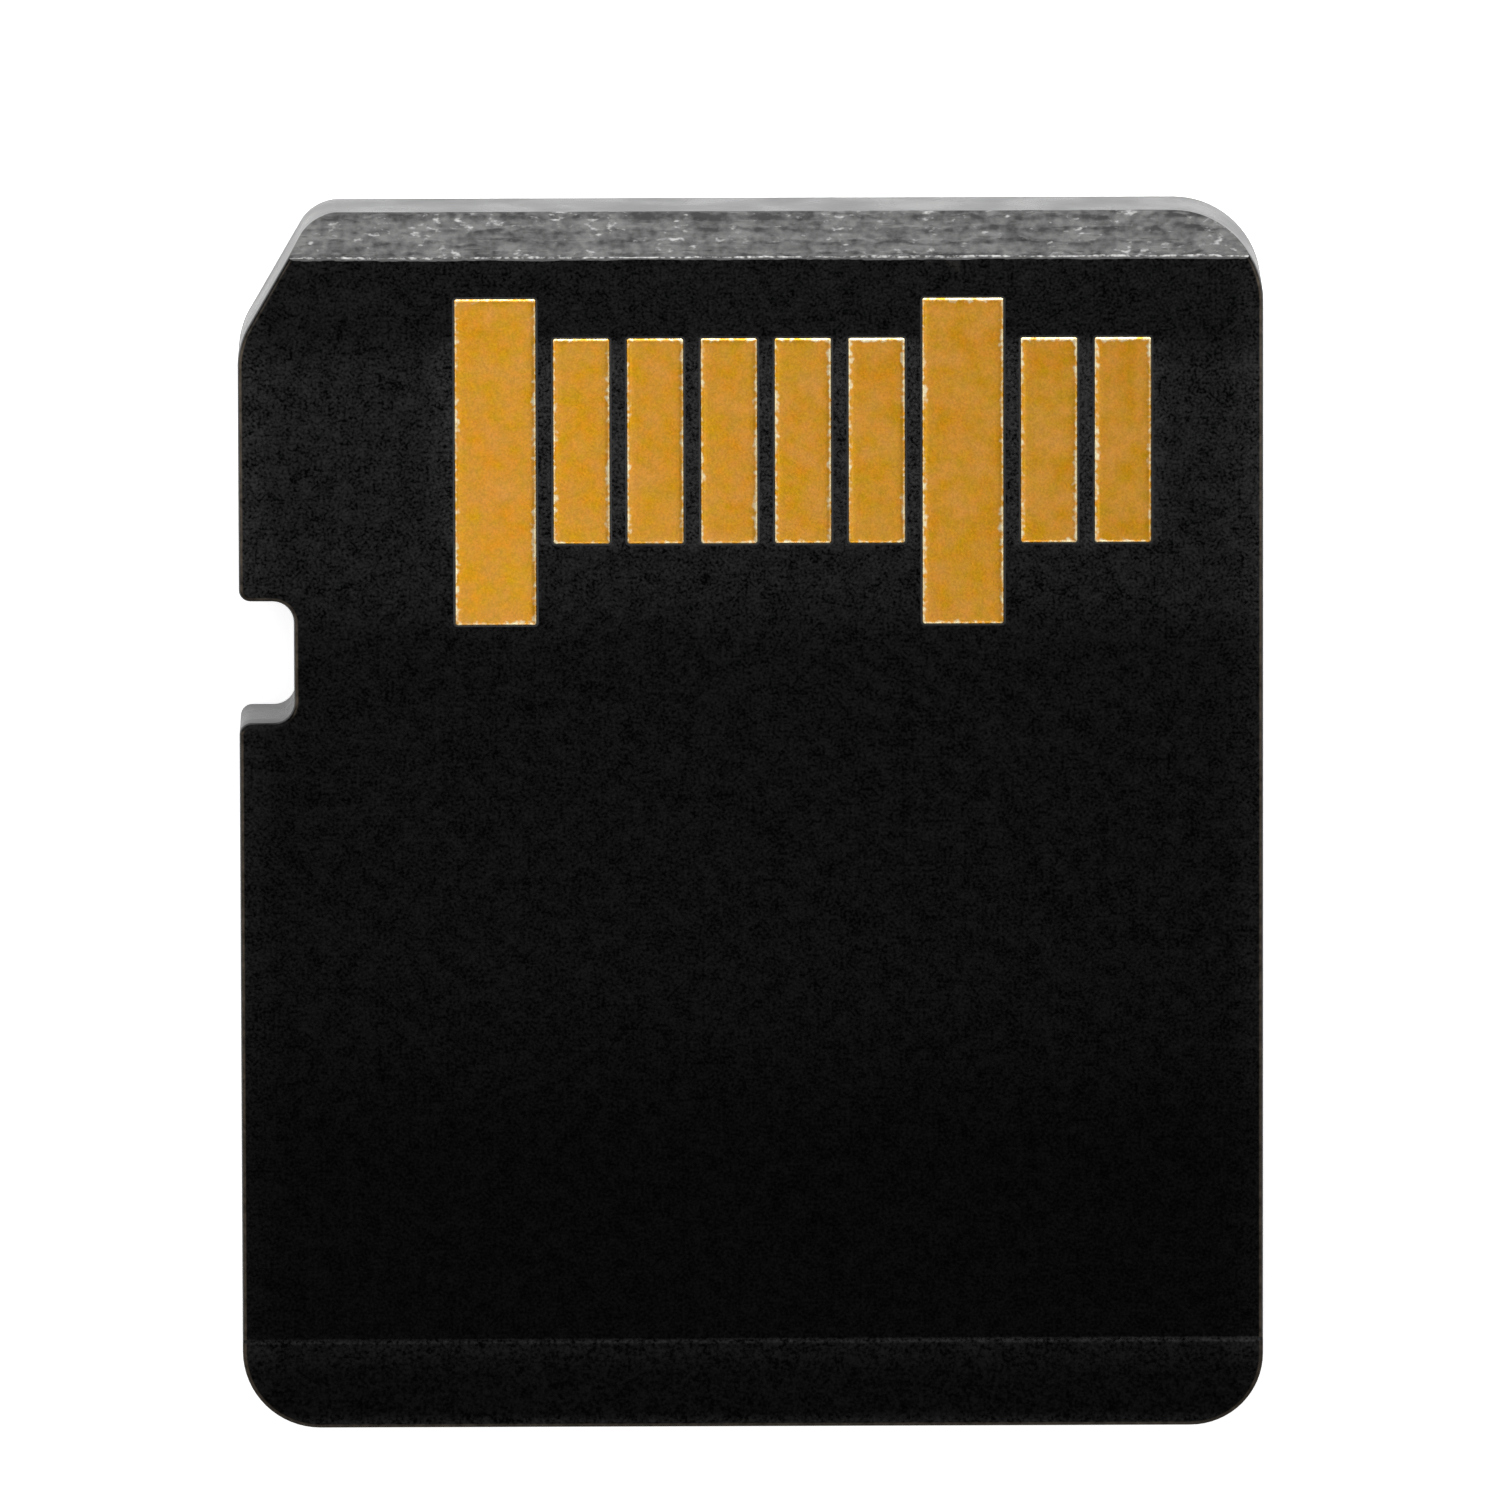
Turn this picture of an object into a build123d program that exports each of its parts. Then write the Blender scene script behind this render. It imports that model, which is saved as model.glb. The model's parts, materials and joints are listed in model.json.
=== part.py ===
from build123d import *
import os

# A removable memory card for a handheld games console, lying on its label side with the contacts up.
# It is a moulded chip package: memory and control chips sit under a glass-fibre board, black epoxy is
# moulded round them, and the finished blank is cut to outline and ground to a bevel at its leading edge.
# The origin is the centre of the label side. +Y points to the leading edge, +Z out of the contact side.
# All sizes are millimetres.

# Card outline, seen from the contact side
CARD_WIDTH = 12.5
CARD_LENGTH = 15.0
CARD_THICKNESS = 1.6
LEADING_CORNER_RADIUS = 1.08
REAR_NOTCH_SIDE_RADIUS = 0.95
REAR_PLAIN_SIDE_RADIUS = 0.89
KEY_CUT_ACROSS = 0.915
KEY_CUT_ALONG = 1.585
KEY_CUT_FRONT_RADIUS = 0.5
KEY_CUT_SIDE_RADIUS = 0.9
NOTCH_CENTRE_FROM_FRONT = 5.5
NOTCH_WIDTH = 1.5
NOTCH_DEPTH = 0.67
NOTCH_INNER_RADIUS = 0.26
NOTCH_MOUTH_RADIUS = 0.14

# Side profile: the ground bevel at the leading edge and the slightly proud strip at the rear
BEVEL_ALONG = 0.55
BEVEL_DEPTH = 0.32
REAR_STRIP_WIDTH = 1.05
REAR_STRIP_RISE = 0.02
REAR_STRIP_RAMP = 0.06
CONTACT_SIDE_EDGE = 0.07
LABEL_SIDE_EDGE = 0.07

# Layers, from the contact side down
MASK_THICKNESS = 0.025
BOARD_THICKNESS = 0.34

# Contacts, counted from the key cut side
CONTACT_ROW_START = 2.637
CONTACT_GAP = 0.2
WIDE_CONTACTS = (0, 6)
CONTACT_COUNT = 9
WIDE_CONTACT = (1.0, 4.03)
NARROW_CONTACT = (0.7, 2.54)
WIDE_CONTACT_FROM_FRONT = 1.02
NARROW_CONTACT_FROM_FRONT = 1.51
CONTACT_THICKNESS = 0.03
CONTACT_CORNER_RADIUS = 0.04
CONTACT_EDGE = 0.012
MASK_CLEARANCE = 0.02

# Memory chips: two, stepped like stairs so that the bond pads at each front edge stay free
MEMORY_DIE = (10.0, 9.8, 0.10)
MEMORY_DIE_FRONT = 4.2
MEMORY_STAIR_STEP = 0.45
MEMORY_DIE_COUNT = 2
MEMORY_WIRE_COUNT = 14
MEMORY_WIRE_PITCH = 0.6
FILM_THICKNESS = 0.02

# Control chip, ahead of the memory
CONTROLLER_DIE = (4.2, 1.5, 0.12)
CONTROLLER_CENTRE = (-0.6, 5.75)
CONTROLLER_WIRE_COUNT = 8
CONTROLLER_WIRE_PITCH = 0.48

# Bond wires
WIRE_WIDTH = 0.02
WIRE_LOOP = 0.09
PAD_INSET = 0.10
MEMORY_LANDING = 4.52
CONTROLLER_LANDING = 0.28

# Chip capacitors on either side of the control chip
CAPACITOR = (0.5, 1.0, 0.5)
CAPACITOR_PLACES = (-4.3, -3.5, 2.3, 3.1, 3.9)
TERMINAL_LENGTH = 0.22
TERMINAL_STEP = 0.02
TERMINAL_EDGE = 0.05

FRONT = CARD_LENGTH / 2
REAR = -FRONT
SIDE = CARD_WIDTH / 2
FACE_HEIGHT = CARD_THICKNESS - REAR_STRIP_RISE
BOARD_TOP = FACE_HEIGHT - MASK_THICKNESS
BOARD_BOTTOM = BOARD_TOP - BOARD_THICKNESS


def card_outline():
    """The plan of the card: a cut key corner, a side notch for the lock, and three rounded corners."""
    notch_front = FRONT - NOTCH_CENTRE_FROM_FRONT + NOTCH_WIDTH / 2
    notch_rear = notch_front - NOTCH_WIDTH
    notch_floor = -SIDE + NOTCH_DEPTH
    corners = [
        ((SIDE, REAR), REAR_PLAIN_SIDE_RADIUS),
        ((SIDE, FRONT), LEADING_CORNER_RADIUS),
        ((-SIDE + KEY_CUT_ACROSS, FRONT), KEY_CUT_FRONT_RADIUS),
        ((-SIDE, FRONT - KEY_CUT_ALONG), KEY_CUT_SIDE_RADIUS),
        ((-SIDE, notch_front), NOTCH_MOUTH_RADIUS),
        ((notch_floor, notch_front), NOTCH_INNER_RADIUS),
        ((notch_floor, notch_rear), NOTCH_INNER_RADIUS),
        ((-SIDE, notch_rear), NOTCH_MOUTH_RADIUS),
        ((-SIDE, REAR), REAR_NOTCH_SIDE_RADIUS),
    ]
    points = [point for point, _ in corners]
    radii = [radius for _, radius in corners]
    return make_face(FilletPolyline(*points, radius=radii, close=True))


def side_profile():
    """The card seen from the side, as a face across its length and thickness."""
    strip_front = REAR + REAR_STRIP_WIDTH
    points = [
        (REAR, 0),
        (FRONT, 0),
        (FRONT, FACE_HEIGHT - BEVEL_DEPTH),
        (FRONT - BEVEL_ALONG, FACE_HEIGHT),
        (strip_front + REAR_STRIP_RAMP, FACE_HEIGHT),
        (strip_front, CARD_THICKNESS),
        (REAR, CARD_THICKNESS),
    ]
    return Plane.YZ * make_face(Polyline(*points, close=True))


def card_blank():
    """The whole card as one shape, before it is parted into its layers."""
    plan = extrude(card_outline(), CARD_THICKNESS)
    label_edges = plan.faces().sort_by(Axis.Z)[0].edges()
    plan = fillet(label_edges, LABEL_SIDE_EDGE)
    contact_edges = plan.faces().sort_by(Axis.Z)[-1].edges()
    plan = chamfer(contact_edges, CONTACT_SIDE_EDGE)
    return plan & extrude(side_profile(), SIDE, both=True)


def layer(blank, low, high):
    """The part of the blank between two heights."""
    slab = Pos(0, 0, low) * Box(
        2 * CARD_WIDTH,
        2 * CARD_LENGTH,
        high - low,
        align=(Align.CENTER, Align.CENTER, Align.MIN),
    )
    return blank & slab


def contact_plans():
    """The plan of each contact, with the row's wide contacts reaching further both ways."""
    plans = []
    left = -SIDE + CONTACT_ROW_START
    for index in range(CONTACT_COUNT):
        wide = index in WIDE_CONTACTS
        width, length = WIDE_CONTACT if wide else NARROW_CONTACT
        from_front = WIDE_CONTACT_FROM_FRONT if wide else NARROW_CONTACT_FROM_FRONT
        centre = Pos(left + width / 2, FRONT - from_front - length / 2)
        plans.append((centre, width, length))
        left += width + CONTACT_GAP
    return plans


def contact(place, width, length):
    """One gold-plated contact, with softened edges."""
    plan = RectangleRounded(width, length, CONTACT_CORNER_RADIUS)
    plate = extrude(plan, CONTACT_THICKNESS)
    plate = chamfer(plate.faces().sort_by(Axis.Z)[-1].edges(), CONTACT_EDGE)
    return Pos(0, 0, BOARD_TOP) * place * plate


def solder_mask(blank):
    """The black film on the contact side, open round each contact and thicker along the rear."""
    mask = layer(blank, BOARD_TOP, CARD_THICKNESS)
    window_radius = CONTACT_CORNER_RADIUS + MASK_CLEARANCE
    for place, width, length in contact_plans():
        window = RectangleRounded(
            width + 2 * MASK_CLEARANCE,
            length + 2 * MASK_CLEARANCE,
            window_radius,
        )
        mask -= Pos(0, 0, BOARD_TOP) * place * extrude(window, MASK_THICKNESS)
    return mask


def hung_plate(width, length, thickness, centre_x, front, top):
    """A flat chip or film that hangs below a surface, placed by its front edge."""
    plate = Box(width, length, thickness, align=(Align.CENTER, Align.MAX, Align.MAX))
    return Pos(centre_x, front, top) * plate


def memory_stack():
    """Each memory chip under its bonding film, and the height of each chip's free face."""
    width, length, thickness = MEMORY_DIE
    nodes = {}
    faces = []
    top = BOARD_BOTTOM
    front = MEMORY_DIE_FRONT
    for number in range(1, MEMORY_DIE_COUNT + 1):
        nodes[f"memory_film_{number}"] = hung_plate(width, length, FILM_THICKNESS, 0, front, top)
        top -= FILM_THICKNESS
        nodes[f"memory_die_{number}"] = hung_plate(width, length, thickness, 0, front, top)
        top -= thickness
        faces.append((front, top))
        front -= MEMORY_STAIR_STEP
    return nodes, faces


def controller():
    """The control chip under its bonding film, and the height of the chip's free face."""
    width, length, thickness = CONTROLLER_DIE
    centre_x, centre_y = CONTROLLER_CENTRE
    front = centre_y + length / 2
    nodes = {
        "controller_film": hung_plate(width, length, FILM_THICKNESS, centre_x, front, BOARD_BOTTOM),
        "controller_die": hung_plate(
            width, length, thickness, centre_x, front, BOARD_BOTTOM - FILM_THICKNESS
        ),
    }
    return nodes, BOARD_BOTTOM - FILM_THICKNESS - thickness


def bond_wire(pad, landing):
    """One wire loop, drawn in the plane of Y and Z: straight off its pad, then sloping to its landing."""
    pad_y, pad_z = pad
    landing_y, landing_z = landing
    half = WIRE_WIDTH / 2 if landing_y > pad_y else -WIRE_WIDTH / 2
    knee_z = pad_z - WIRE_LOOP
    points = [
        (pad_y - half, pad_z),
        (pad_y - half, knee_z),
        (landing_y + half, landing_z),
        (landing_y - half, landing_z),
        (pad_y + half, knee_z + WIRE_WIDTH),
        (pad_y + half, pad_z),
    ]
    loop = Plane.YZ * make_face(Polyline(*points, close=True))
    return extrude(loop, WIRE_WIDTH / 2, both=True)


def wire_row(wire, count, pitch, centre_x):
    """Equal wires side by side across the card."""
    first = centre_x - pitch * (count - 1) / 2
    return [Pos(first + pitch * index, 0, 0) * wire for index in range(count)]


def memory_wires(faces):
    """Wires from each memory chip to the chip above it, and from the first chip to the board."""
    wires = []
    landing = (MEMORY_LANDING, BOARD_BOTTOM)
    for front, height in faces:
        pad = (front - PAD_INSET, height)
        wires += wire_row(bond_wire(pad, landing), MEMORY_WIRE_COUNT, MEMORY_WIRE_PITCH, 0)
        landing = (front - 2 * PAD_INSET, height)
    return Compound(children=wires)


def controller_wires(height):
    """Wires from both long sides of the control chip to the board."""
    centre_x, centre_y = CONTROLLER_CENTRE
    half_length = CONTROLLER_DIE[1] / 2
    wires = []
    for side in (1, -1):
        edge = centre_y + side * half_length
        pad = (edge - side * PAD_INSET, height)
        landing = (edge + side * CONTROLLER_LANDING, BOARD_BOTTOM)
        wire = bond_wire(pad, landing)
        wires += wire_row(wire, CONTROLLER_WIRE_COUNT, CONTROLLER_WIRE_PITCH, centre_x)
    return Compound(children=wires)


def chip_capacitor():
    """A ceramic block between two metal end caps that stand a little proud of it."""
    width, length, height = CAPACITOR
    block = Box(width - 2 * TERMINAL_STEP, length - TERMINAL_LENGTH, height - 2 * TERMINAL_STEP)
    cap = Box(width, TERMINAL_LENGTH, height)
    outer_edges = cap.faces().sort_by(Axis.Y)[-1].edges()
    cap = fillet(outer_edges, TERMINAL_EDGE)
    cap = Pos(0, (length - TERMINAL_LENGTH) / 2, 0) * cap
    return block + cap + mirror(cap, Plane.XZ)


def capacitors():
    """The row of capacitors, seated on the board."""
    height = BOARD_BOTTOM - CAPACITOR[2] / 2
    row = {}
    for number, place in enumerate(CAPACITOR_PLACES, start=1):
        row[f"capacitor_{number}"] = Pos(place, CONTROLLER_CENTRE[1], height) * chip_capacitor()
    return row


def build_card():
    """Every piece of the card by name."""
    blank = card_blank()
    nodes, memory_faces = memory_stack()
    controller_nodes, controller_face = controller()
    nodes.update(controller_nodes)
    nodes.update(capacitors())
    nodes["memory_bond_wires"] = memory_wires(memory_faces)
    nodes["controller_bond_wires"] = controller_wires(controller_face)

    body = layer(blank, 0, BOARD_BOTTOM)
    for buried in list(nodes.values()):
        body -= buried.solids()
    nodes["moulded_body"] = body
    nodes["circuit_board"] = layer(blank, BOARD_BOTTOM, BOARD_TOP)
    nodes["solder_mask"] = solder_mask(blank)
    for number, plan in enumerate(contact_plans(), start=1):
        nodes[f"contact_{number}"] = contact(*plan)
    return nodes


os.makedirs("parts", exist_ok=True)
for name, shape in build_card().items():
    export_step(shape, f"parts/{name}.step")
    print(name, len(shape.solids()), round(sum(solid.volume for solid in shape.solids()), 4))
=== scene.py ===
# %% [markdown]
# # A console memory card, contacts up
# The card is a chip package about as large as a thumbnail: black epoxy is cast under a thin woven-glass
# board, the board carries a black film and nine gold contacts, and the leading edge is ground to a slope
# so that the card slides into its slot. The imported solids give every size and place, and this script
# gives them their finish.

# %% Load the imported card
import json
import math

import bmesh
import bpy
from mathutils import Matrix, Vector


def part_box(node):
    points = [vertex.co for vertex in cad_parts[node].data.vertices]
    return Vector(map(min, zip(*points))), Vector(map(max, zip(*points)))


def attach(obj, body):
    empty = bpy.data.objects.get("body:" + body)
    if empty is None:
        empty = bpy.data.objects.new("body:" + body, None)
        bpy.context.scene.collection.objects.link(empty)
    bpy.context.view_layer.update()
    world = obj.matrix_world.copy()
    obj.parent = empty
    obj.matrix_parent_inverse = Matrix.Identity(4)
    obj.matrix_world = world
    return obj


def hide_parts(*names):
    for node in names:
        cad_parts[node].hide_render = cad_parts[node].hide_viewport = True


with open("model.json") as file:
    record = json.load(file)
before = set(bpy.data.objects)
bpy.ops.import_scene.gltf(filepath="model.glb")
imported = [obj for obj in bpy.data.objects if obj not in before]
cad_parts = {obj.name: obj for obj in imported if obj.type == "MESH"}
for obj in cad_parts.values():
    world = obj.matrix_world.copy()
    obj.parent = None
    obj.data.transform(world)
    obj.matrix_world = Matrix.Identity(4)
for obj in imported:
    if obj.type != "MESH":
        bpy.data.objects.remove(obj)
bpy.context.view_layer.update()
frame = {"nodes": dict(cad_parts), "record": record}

# %% [markdown]
# ## Working a thousand times up
# The film on the card is 0.025 mm thick, and Blender's modelling tools merge points that lie closer than
# a tenth of a millimetre. So each piece is shaped with one Blender unit for one millimetre, and scaled
# down to metres when it is done. These helpers select one piece, open its mesh, and choose points, edges
# or faces by a test on their place.

# %% Bench helpers
MM = 0.001
NEAR = 1e-4


def node_box(node):
    """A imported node's lowest and highest corners, in millimetres."""
    low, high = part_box(node)
    return low / MM, high / MM


def only(piece):
    """Deselects everything, then selects one piece and makes it active."""
    bpy.ops.object.select_all(action="DESELECT")
    piece.select_set(True)
    bpy.context.view_layer.objects.active = piece


def open_mesh(piece):
    only(piece)
    bpy.ops.object.mode_set(mode="EDIT")


def close_mesh():
    bpy.ops.object.mode_set(mode="OBJECT")


def choose(piece, kind, test):
    """In edit mode, selects the vertices, edges or faces that pass a test, and says how many did."""
    bpy.ops.mesh.select_mode(type=kind)
    bpy.ops.mesh.select_all(action="DESELECT")
    mesh = bmesh.from_edit_mesh(piece.data)
    elements = {"VERT": mesh.verts, "EDGE": mesh.edges, "FACE": mesh.faces}[kind]
    chosen = [element for element in elements if test(element)]
    for element in chosen:
        element.select_set(True)
    bmesh.update_edit_mesh(piece.data)
    return len(chosen)


def block(name, low, high):
    """A box between two corners, as the start of a piece."""
    bpy.ops.object.select_all(action="DESELECT")
    low = Vector(low)
    high = Vector(high)
    bpy.ops.mesh.primitive_cube_add(size=1, location=(low + high) / 2, scale=high - low)
    bpy.ops.object.transform_apply()
    piece = bpy.context.object
    piece.name = name
    return piece


def copy_of(piece, name):
    """A copy with a mesh of its own."""
    twin = piece.copy()
    twin.data = piece.data.copy()
    twin.name = name
    bpy.context.scene.collection.objects.link(twin)
    return twin


def slice_off(piece, place, towards):
    """Cuts a piece with a plane, takes away the side that the arrow points to, and closes the cut."""
    open_mesh(piece)
    bpy.ops.mesh.select_all(action="SELECT")
    arrow = Vector(towards).normalized()
    bpy.ops.mesh.bisect(plane_co=place, plane_no=arrow, use_fill=True, clear_outer=True, threshold=NEAR)
    close_mesh()


def carve(piece, tool):
    """Subtracts a tool from a piece. Faces that the tool leaves behind take the tool's material."""
    only(piece)
    modifier = piece.modifiers.new("carve", "BOOLEAN")
    modifier.operation = "DIFFERENCE"
    modifier.solver = "EXACT"
    modifier.material_mode = "TRANSFER"
    modifier.object = tool
    bpy.ops.object.modifier_apply(modifier=modifier.name)
    bpy.data.objects.remove(tool)


def settle(piece, node, crease=35):
    """Scales a finished piece to metres, smooths it up to an angle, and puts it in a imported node's place."""
    only(piece)
    piece.scale = (MM, MM, MM)
    bpy.ops.object.transform_apply()
    bpy.ops.object.shade_smooth_by_angle(angle=math.radians(crease))
    modifier = piece.modifiers.new("even_shading", "WEIGHTED_NORMAL")
    modifier.keep_sharp = True
    bpy.ops.object.modifier_apply(modifier=modifier.name)
    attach(piece, "root")
    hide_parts(node)
    print(piece.name, "faces", len(piece.data.polygons))


# %% [markdown]
# ## Grain that several finishes share
# Cast epoxy, printed film and plated gold all carry a fine grain with broader clouds over it, and differ
# in the size and strength of each. One node group makes the pattern from Object coordinates, so it stays
# on the piece from every side. Each material then decides what the grain does to its colour, its
# roughness or its bumps.

# %% Node helpers and the grain group
def add_node(tree, kind, **settings):
    node = tree.nodes.new(kind)
    for name, value in settings.items():
        setattr(node, name, value)
    return node


def arithmetic(tree, operation, first, second=None, third=None):
    """A Math node, fed by sockets or plain numbers."""
    node = add_node(tree, "ShaderNodeMath", operation=operation)
    for socket, value in zip(node.inputs, (first, second, third)):
        if isinstance(value, bpy.types.NodeSocket):
            tree.links.new(value, socket)
        elif value is not None:
            socket.default_value = value
    return node.outputs[0]


def ramp_between(tree, value, low, high, low_out=0.0, high_out=1.0, smooth=True):
    """Maps a value from one range to another, and holds it at both ends."""
    node = add_node(tree, "ShaderNodeMapRange", clamp=True)
    node.interpolation_type = "SMOOTHSTEP" if smooth else "LINEAR"
    tree.links.new(value, node.inputs["Value"])
    node.inputs["From Min"].default_value = low
    node.inputs["From Max"].default_value = high
    node.inputs["To Min"].default_value = low_out
    node.inputs["To Max"].default_value = high_out
    return node.outputs["Result"]


def blend_colours(tree, factor, first, second):
    """Mixes two plain colours by a factor that changes over the surface."""
    node = add_node(tree, "ShaderNodeMix", data_type="RGBA")
    tree.links.new(factor, node.inputs[0])
    node.inputs[6].default_value = (*first, 1)
    node.inputs[7].default_value = (*second, 1)
    return node.outputs[2]


def mix_to(tree, factor, colour, target):
    """Mixes a changing colour towards a plain one."""
    node = add_node(tree, "ShaderNodeMix", data_type="RGBA")
    tree.links.new(factor, node.inputs[0])
    tree.links.new(colour, node.inputs[6])
    node.inputs[7].default_value = (*target, 1)
    return node.outputs[2]


def scaled(tree, colour, factor):
    """A changing colour, made brighter or darker by a factor that changes too."""
    node = add_node(tree, "ShaderNodeVectorMath", operation="SCALE")
    tree.links.new(colour, node.inputs[0])
    tree.links.new(factor, node.inputs["Scale"])
    return node.outputs[0]


def place_in_mm(tree):
    """A point's place on the card, as three sockets in millimetres."""
    node = add_node(tree, "ShaderNodeVectorMath", operation="SCALE")
    tree.links.new(add_node(tree, "ShaderNodeTexCoord").outputs["Object"], node.inputs[0])
    node.inputs["Scale"].default_value = 1 / MM
    split = add_node(tree, "ShaderNodeSeparateXYZ")
    tree.links.new(node.outputs[0], split.inputs[0])
    return split.outputs


def slope_at(tree):
    """The direction that a surface faces, as three sockets."""
    split = add_node(tree, "ShaderNodeSeparateXYZ")
    tree.links.new(add_node(tree, "ShaderNodeNewGeometry").outputs["Normal"], split.inputs[0])
    return split.outputs


def noise_at(tree, vector, detail):
    """A noise texture at a place, one spot wide for each unit of it."""
    node = add_node(tree, "ShaderNodeTexNoise")
    tree.links.new(vector, node.inputs["Vector"])
    node.inputs["Scale"].default_value = 1
    node.inputs["Detail"].default_value = detail
    return node


def make_grain_group():
    tree = bpy.data.node_groups.new("fine_grain", "ShaderNodeTree")
    for name in ("Grain Size", "Cloud Size", "Speck Size"):
        socket = tree.interface.new_socket(name, in_out="INPUT", socket_type="NodeSocketFloat")
        socket.default_value = 0.1
    for name in ("Grain", "Cloud", "Speck"):
        tree.interface.new_socket(name, in_out="OUTPUT", socket_type="NodeSocketFloat")
    sizes = add_node(tree, "NodeGroupInput")
    result = add_node(tree, "NodeGroupOutput")
    place = add_node(tree, "ShaderNodeTexCoord").outputs["Object"]
    for name, detail in (("Grain", 3.0), ("Cloud", 2.0), ("Speck", 1.0)):
        scale = arithmetic(tree, "DIVIDE", 1 / MM, sizes.outputs[name + " Size"])
        noise = noise_at(tree, place, detail)
        tree.links.new(scale, noise.inputs["Scale"])
        tree.links.new(noise.outputs["Fac"], result.inputs[name])
    return tree


grain_group = make_grain_group()
print("group", grain_group.name, [item.name for item in grain_group.interface.items_tree])


# %% Start of a material
def start_material(name, roughness, specular, metallic=0.0):
    """A material with its shader's plain values set, and its node tree."""
    material = bpy.data.materials.new(name)
    material.use_nodes = True
    shader = material.node_tree.nodes["Principled BSDF"]
    shader.inputs["Roughness"].default_value = roughness
    shader.inputs["Specular IOR Level"].default_value = specular
    shader.inputs["Metallic"].default_value = metallic
    return material, material.node_tree, shader


def grain(tree, grain_size, cloud_size, speck_size):
    node = add_node(tree, "ShaderNodeGroup", node_tree=grain_group)
    node.inputs["Grain Size"].default_value = grain_size
    node.inputs["Cloud Size"].default_value = cloud_size
    node.inputs["Speck Size"].default_value = speck_size
    return node.outputs


def raise_bumps(tree, shader, height, depth_mm):
    """Feeds a height pattern to the shader's normal, as bumps of a given depth."""
    bump = add_node(tree, "ShaderNodeBump")
    bump.inputs["Strength"].default_value = 1
    bump.inputs["Distance"].default_value = depth_mm * MM
    tree.links.new(height, bump.inputs["Height"])
    tree.links.new(bump.outputs["Normal"], shader.inputs["Normal"])


# %% [markdown]
# ## Black film
# The contact side is covered by a printed black film with a fine, dusty grain. A flat black would look
# like a hole in the picture, so two dark tones are mixed by the grain, and tiny bumps break up the light
# that glances off it. Light and shade are also painted into the colour by a point's place on the card:
# paler from the rear towards the middle and again from just behind the contacts, darker near the slope,
# paler between the contacts and along both sides, and a painted highlight on the rear rim, on the raised
# strip at the rear and most of all along the strip's front line. Rims that face the sides or the rear are
# found from their slope and turn brown, partly film worn thin and partly a painted highlight.

# %% Black film material
REAR_STRIP_RISE = 0.02
FACE_HEIGHT = node_box("solder_mask")[1].z - REAR_STRIP_RISE
body_low, body_high = node_box("moulded_body")
SIDE = body_high.x
FRONT = body_high.y
REAR = body_low.y
first_contact = node_box("contact_1")
last_contact = node_box("contact_9")
PALER_FROM_REAR_TO_MIDDLE = (-4.3, -1.6)
PALER_BEHIND_CONTACTS = (2.1, 3.0)
DARKER_BY_SLOPE = (5.5, 6.1)
PAINTED_SIDE_HIGHLIGHT = 0.55


def painted_light_zones(tree):
    """Painted light on the film at a point: least behind the middle, more round the contacts and at the rims.
    """
    place = place_in_mm(tree)

    def zone(axis, start, end, low, high):
        return ramp_between(tree, place[axis], start, end, low, high)

    def total(*values):
        result = values[0]
        for value in values[1:]:
            result = arithmetic(tree, "ADD", result, value)
        return result

    # Painted light and shade: paler towards the middle and from behind the contacts, darker near the slope,
    # and a painted highlight on the rear rim.
    pale = total(
        zone("Y", *PALER_FROM_REAR_TO_MIDDLE, 0.265, 0.49),
        zone("Y", *PALER_BEHIND_CONTACTS, 0.0, 0.37),
        zone("Y", *DARKER_BY_SLOPE, 0.0, -0.375),
        zone("Y", REAR + 0.02, REAR + 0.2, 0.8, 0.0),
    )
    # Painted highlight on the raised rear strip, growing towards its front line.
    on_strip = zone("Z", FACE_HEIGHT + 0.004, FACE_HEIGHT + 0.016, 0, 1)
    crest = zone("Y", REAR + 0.6, REAR + 1.05, 0.1, 0.42)
    pale = arithmetic(tree, "MULTIPLY_ADD", on_strip, crest, pale)
    # Painted highlight along the rear strip's front line, brighter to the right.
    ridge_start = zone("Y", REAR + 1.03, REAR + 1.06, 0, 1)
    ridge = arithmetic(tree, "MULTIPLY", ridge_start, zone("Y", REAR + 1.09, REAR + 1.12, 1, 0))
    pale = arithmetic(tree, "MULTIPLY_ADD", ridge, zone("X", -SIDE, SIDE, 0.45, 0.95), pale)
    # Painted light: the film between the contacts is paler.
    left_end = zone("X", first_contact[0].x - 0.5, first_contact[0].x + 0.1, 0, 0.6)
    right_end = zone("X", last_contact[1].x - 0.1, last_contact[1].x + 0.3, 0, -0.6)
    rear_end = zone("Y", last_contact[0].y - 0.12, last_contact[0].y + 0.05, 0, 1)
    front_end = zone("Y", last_contact[1].y - 0.1, last_contact[1].y + 0.06, 1, 0)
    row = arithmetic(tree, "MULTIPLY", rear_end, front_end)
    pale = arithmetic(tree, "MULTIPLY_ADD", row, total(left_end, right_end), pale)
    # Painted highlight along both sides, as a factor on all the rest.
    left_side = zone("X", -SIDE, PAINTED_SIDE_HIGHLIGHT - SIDE, 0.5, 0.0)
    right_side = zone("X", SIDE - PAINTED_SIDE_HIGHLIGHT, SIDE, 0.0, 0.5)
    return arithmetic(tree, "MULTIPLY", pale, arithmetic(tree, "ADD", total(left_side, right_side), 1.0))


def film_rim_wear_and_highlight(tree):
    """One on a rim that faces the sides or the rear, none on flat film or forward rims: wear and a painted
    highlight.
    """
    facing = slope_at(tree)
    steep = ramp_between(tree, facing["Z"], 0.9, 0.995, 1, 0)
    return arithmetic(tree, "MULTIPLY", steep, ramp_between(tree, facing["Y"], 0.05, 0.35, 1, 0))


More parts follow.
